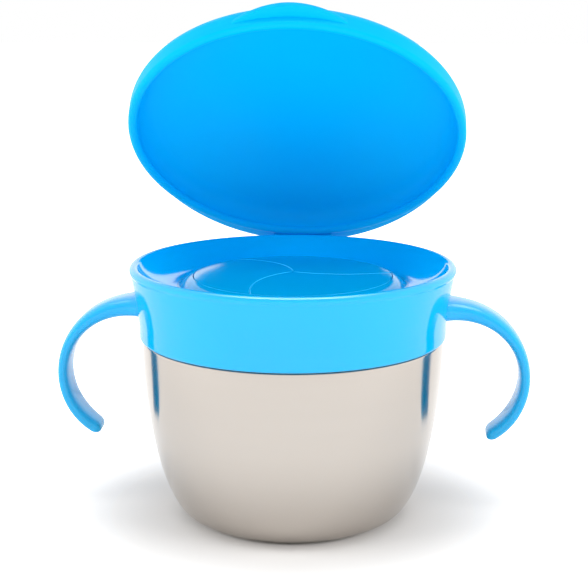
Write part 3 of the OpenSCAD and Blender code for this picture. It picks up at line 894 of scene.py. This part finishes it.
# %% Turn the lid's shell
LIP_EDGE_R = LIP_T / 2
SHOULDER_TURN, INNER_TURN, INNER_R, INNER_DROP, WALL_RELIEF = 76, 72, 6.2, 2.1, 0.3
CROWN_PULL, CROWN_FLAT = LID_R * 0.29, LID_R * 0.43
lid_top, lip_z, wall_r = LID_Z + LID_H, LID_Z + LIP_EDGE_R, LID_IN_R + WALL_RELIEF
shoulder_mid = np.array([LID_R - LID_SHOULDER_R, LID_Z + LID_WALL_H])
crown_start = shoulder_mid + polar(SHOULDER_TURN, LID_SHOULDER_R)
hollow_mid = np.array([wall_r - INNER_R, LID_Z + LID_WALL_H - INNER_DROP])
hollow_end = hollow_mid + polar(INNER_TURN, INNER_R)
lid_outline = (
    # round the lip, over the shoulder, and up to the crown
    arc((LID_IN_R + LIP_EDGE_R, lip_z), LIP_EDGE_R, -180, 0, 28)
    + arc(shoulder_mid, LID_SHOULDER_R, 0, SHOULDER_TURN, 20)
    + free_curve(crown_start, crown_start + polar(SHOULDER_TURN + 90, CROWN_PULL),
                 (CROWN_FLAT, lid_top), (0, lid_top), 40)[1:]
    # back down the hollow, and out to the lip
    + free_curve((0, lid_top - LID_T), (CROWN_FLAT, lid_top - LID_T),
                 hollow_end + polar(INNER_TURN + 90, CROWN_PULL), hollow_end, 40)
    + arc(hollow_mid, INNER_R, INNER_TURN, 0, 24)[1:]
    + free_curve((wall_r, lip_z + 0.85), (wall_r, lip_z + 0.6), (LID_IN_R, lip_z + 0.4),
                 (LID_IN_R, lip_z + 0.1), 6)[1:]
)
lid = turned("lid_shell", lid_outline, steps=320, smooth_below=40)
lid.data.transform(OPEN_LID)
dressed(lid, LID_BLUE, "lid", "blue_plastic", "lid")

# %% Crescents for the thumb tab and the back of the lid
CREST_ROOT, CREST_STEPS = 0.6, 64


def crescent(name, half_w, out, z0, thick, crest, edge, place=lambda v: v):
    """A shallow ear that grows out of the lid's wall towards +Y, then put in place."""
    rim, root = [], []
    for i in range(CREST_STEPS + 1):
        x = half_w * (2 * i / CREST_STEPS - 1)
        rise = max(cos(pi / 2 * x / half_w), 0) ** crest
        y = sqrt(LID_R ** 2 - x * x)
        rim.append((x, y - CREST_ROOT + (out + CREST_ROOT) * rise))
        root.append(tuple(np.array([x, y]) / LID_R * (LID_R - LIP_EDGE_R)))
    n = CREST_STEPS + 1
    verts = [opened(place((x, y, z))) for z in (z0, z0 + thick) for x, y in rim + root]
    faces = []
    for a in range(CREST_STEPS):
        b, c, d = n + a, 2 * n + a, 3 * n + a
        faces += [(a, a + 1, b + 1, b), (c, d, d + 1, c + 1),
                  (a, c, c + 1, a + 1), (b, b + 1, d + 1, d)]
    faces += [(a, n + a, 3 * n + a, 2 * n + a) for a in (0, CREST_STEPS)]
    return rounded(add_piece(name, verts, faces), edge)


# %% Grow the thumb tab and the back ear
TAB_PIVOT_IN, BACK_EAR_PAST = 1.0, 1.2


def at_the_front(v):
    """Tilts an ear up about its root and turns it from the back of the lid to the front."""
    root_y, z = LID_R - TAB_PIVOT_IN, LID_Z + TAB_ROOT
    y, h, a = v[1] - root_y, v[2] - z, radians(TAB_TILT)
    return (-v[0], -(root_y + y * cos(a) - h * sin(a)), z + y * sin(a) + h * cos(a))


tab = crescent("thumb_tab", TAB_W / 2, TAB_OUT, LID_Z + TAB_ROOT, TAB_T, crest=0.85, edge=0.7,
               place=at_the_front)
dressed(tab, LID_BLUE, "lid", "blue_plastic")
back_ear = crescent("lid_back_ear", NECK_W / 2, HINGE_Y - LID_R + BACK_EAR_PAST, LID_Z + NECK_ROOT,
                    NECK_T, crest=0.6, edge=0.8)
dressed(back_ear, LID_BLUE, "lid", "blue_plastic")

# %% [markdown]
# The knuckle turns on the pin, and its arm runs into the back ear. Two faces that lie in one
# plane flicker where they overlap, so the arm is kept a hair thinner than the ear and ends
# inside it.

# %% The lid's knuckle
ARM_ROOT_Y, ARM_SUNK, ARM_PAST_PIN, KNUCKLE_BORE_GAP = LID_R - 0.6, 0.06, 0.4, 0.05
arm_low = LID_Z + NECK_ROOT + ARM_SUNK
arm_high = LID_Z + NECK_ROOT + NECK_T - ARM_SUNK
knuckle_outline = (corners((ARM_ROOT_Y, arm_low))
                   + arc((HINGE_Y, HINGE_Z), KNUCKLE_R, 180, 360, 24)
                   + corners((HINGE_Y + KNUCKLE_R * ARM_PAST_PIN, arm_high),
                             (ARM_ROOT_Y, arm_high)))
knuckle = bored_block("lid_knuckle", knuckle_outline, PIN_R + KNUCKLE_BORE_GAP, -KNUCKLE_W / 2,
                      KNUCKLE_W / 2, opened)
dressed(knuckle, LID_BLUE, "lid", "blue_plastic")

# %% [markdown]
# ## Floor, room and light
#
# The bowl stands on a plain white floor in a white room. Flooding it with light would turn the
# floor white, but the blues would wash out with it. So the floor is made white by its own colour
# and a lift that the camera sees in full and reflections see in part, and the lamps stay at the
# level where a colour shows as it is written. Close to the bowl the lift fades out, and the soft
# shadow stays.

# %% Fades, and kinds of rays
def fade(tree, value, start, end, start_level, end_level):
    """A level that changes smoothly while the value of an output runs from start to end."""
    node = tree.nodes.new("ShaderNodeMapRange")
    node.interpolation_type = "SMOOTHSTEP"
    for name, number in (("From Min", start), ("From Max", end),
                         ("To Min", start_level), ("To Max", end_level)):
        node.inputs[name].default_value = number
    wire(tree, value, node.inputs["Value"])
    return node.outputs["Result"]


def kinds_of_rays(tree):
    """Two outputs: 1 for rays seen directly or through something clear, and 1 for glossy rays."""
    rays = tree.nodes.new("ShaderNodeLightPath").outputs
    seen = maths(tree, "MAXIMUM", rays["Is Camera Ray"], rays["Is Transmission Ray"])
    return seen, rays["Is Glossy Ray"]


# %% The floor
FLOOR_HALF, FLOOR_WHITE, FLOOR_ROUGH = 3.0, (0.87, 0.86, 0.85, 1), 0.9
SEEN_LIFT_RUN, SEEN_LIFT = (0.04, 0.105), 1.0
MIRRORED_LIFT_RUN, MIRRORED_LIFT = (0.035, 0.085), 0.42


def white_floor():
    """White to the camera and in reflections, but plain close to the bowl, in its shadow."""
    material, tree, shader = finish_tree("white_floor")
    shader.inputs["Base Color"].default_value = FLOOR_WHITE
    shader.inputs["Roughness"].default_value = FLOOR_ROUGH
    shader.inputs["Specular IOR Level"].default_value = 0.0
    shader.inputs["Emission Color"].default_value = (1, 1, 1, 1)
    place = tree.nodes.new("ShaderNodeTexCoord")
    length = tree.nodes.new("ShaderNodeVectorMath")
    length.operation = "LENGTH"
    wire(tree, place.outputs["Object"], length.inputs[0])
    reach = length.outputs["Value"]
    seen, glossy = kinds_of_rays(tree)
    seen_lift = fade(tree, reach, *SEEN_LIFT_RUN, 0.0, SEEN_LIFT)
    mirrored_lift = fade(tree, reach, *MIRRORED_LIFT_RUN, 0.0, MIRRORED_LIFT)
    mirrored = maths(tree, "MULTIPLY", glossy, mirrored_lift)
    lift = maths(tree, "MULTIPLY_ADD", seen, seen_lift, mirrored)
    wire(tree, lift, shader.inputs["Emission Strength"])
    return material


floor_mesh = bpy.data.meshes.new("studio_floor")
ways_out = ((-1, -1), (1, -1), (1, 1), (-1, 1))
floor_mesh.from_pydata([(x * FLOOR_HALF, y * FLOOR_HALF, 0) for x, y in ways_out], [], [(0, 1, 2, 3)])
floor = placed("studio_floor", floor_mesh)
floor.data.materials.append(white_floor())
print("the floor is", 2 * FLOOR_HALF, "m wide")

# %% [markdown]
# The room is white to the camera. To the bowl it is dimmer in front and brighter behind, so that
# the shape shows. Glossy surfaces mirror a brighter room, with a lit ceiling that gives the rim,
# the handles and the dish their highlights. More lamps could be mirrored for that, but their
# hard edges would draw lines on the steel.

# %% The room
ROOM_FRONT, ROOM_BACK, MIRRORED_FRONT, MIRRORED_BACK, MIRRORED_CEILING = 0.1, 0.7, 0.85, 1.5, 5.0
ROOM_TURNS, MIRRORED_TURNS, CEILING_STARTS = (-0.7, 0.5), (-0.9, -0.1), (0.80, 0.95)
world = bpy.data.worlds.new("white_room")
bpy.context.scene.world = world
world.use_nodes = True
room_tree = world.node_tree
way = room_tree.nodes.new("ShaderNodeTexCoord")
split = room_tree.nodes.new("ShaderNodeSeparateXYZ")
wire(room_tree, way.outputs["Generated"], split.inputs[0])
plain = fade(room_tree, split.outputs["Y"], *ROOM_TURNS, ROOM_FRONT, ROOM_BACK)
walls = fade(room_tree, split.outputs["Y"], *MIRRORED_TURNS, MIRRORED_FRONT, MIRRORED_BACK)
ceiling = fade(room_tree, split.outputs["Z"], *CEILING_STARTS, 0.0, MIRRORED_CEILING)
mirrored = maths(room_tree, "ADD", walls, ceiling)
seen, glossy = kinds_of_rays(room_tree)
extra = maths(room_tree, "SUBTRACT", mirrored, plain)
level = maths(room_tree, "MULTIPLY_ADD", glossy, extra, plain)
room = room_tree.nodes["Background"]
room.inputs["Color"].default_value = (1, 1, 1, 1)
wire(room_tree, maths(room_tree, "MAXIMUM", level, seen), room.inputs["Strength"])
print("the room's tree has", len(room_tree.nodes), "nodes")

# %% [markdown]
# Soft boxes do the rest. Two long ones at the sides shape the collar and the handles, three in
# front fill the skirt and the lid, and a card on the floor throws light up under the lid. Only
# the box overhead shows in glossy surfaces, and the camera sees none of them. A sun lamp would
# need no placing, but its shadows are hard.

# %% The lamps
def facing(place, target):
    """How a lamp or a camera at a place is turned to look at its target."""
    return (Vector(target) - Vector(place)).to_track_quat("-Z", "Y").to_euler()


def soft_box(name, place, target, size, size_y, power, in_gloss=False):
    """A lamp of a length and a breadth in metres, turned towards its target."""
    lamp = bpy.data.lights.new(name, "AREA")
    lamp.shape = "RECTANGLE"
    lamp.size, lamp.size_y, lamp.energy = size, size_y, power
    holder = placed(name, lamp)
    holder.location, holder.rotation_euler = place, facing(place, target)
    holder.visible_glossy, holder.visible_camera = in_gloss, False
    print(name, power, "W")


soft_box("top_box", (0, -0.35, 1.3), (0, 0, 0.05), 1.2, 0.35, 5.0, in_gloss=True)
soft_box("high_front_box", (0, -1.05, 0.95), (0, 0, 0.07), 1.4, 0.5, 2.2)
soft_box("front_box", (0, -1.5, 0.35), (0, 0, 0.08), 1.8, 0.7, 2.0)
soft_box("low_front_box", (0, -0.7, 0.05), (0, 0, 0.10), 1.2, 0.08, 0.35)
soft_box("floor_card", (0, -0.38, 0.005), (0, -0.38, 1.0), 0.9, 0.45, 2.2)
soft_box("left_box", (-1.2, -0.2, 0.5), (0, 0, 0.06), 1.2, 0.3, 9.4)
soft_box("right_box", (1.2, -0.2, 0.5), (0, 0, 0.06), 1.2, 0.3, 9.8)

# %% [markdown]
# ## The camera
#
# The camera stands a little over 40 cm from the bowl and looks slightly down into it. It is
# turned a few degrees round it, so the right handle is nearer than the left. It could be placed
# by typing in a location and a rotation. Worked out from a distance, a pitch and a yaw about one
# point, it keeps looking at the bowl when any of them changes.

# %% Place the camera
LOOK_Z, DISTANCE, PITCH_DOWN, YAW = 0.0665, 0.430, radians(12.42), radians(3.5)
FRAME_PX, FOCAL_PX, AXIS_PX, SENSOR_MM = 588, 1452, 292.79, 36
camera_data = bpy.data.cameras.new("camera")
camera_data.sensor_width = SENSOR_MM
camera_data.lens = FOCAL_PX / FRAME_PX * SENSOR_MM
camera_data.shift_x = (FRAME_PX / 2 - AXIS_PX) / FRAME_PX
camera_data.clip_start = 0.01
camera = placed("camera", camera_data)
camera.location = (DISTANCE * cos(PITCH_DOWN) * sin(YAW), -DISTANCE * cos(PITCH_DOWN) * cos(YAW),
                   LOOK_Z + DISTANCE * sin(PITCH_DOWN))
camera.rotation_euler = facing(camera.location, (0, 0, LOOK_Z))
bpy.context.scene.camera = camera
bpy.context.scene.view_settings.view_transform = "Standard"
print("lens", round(camera_data.lens, 1), "mm")
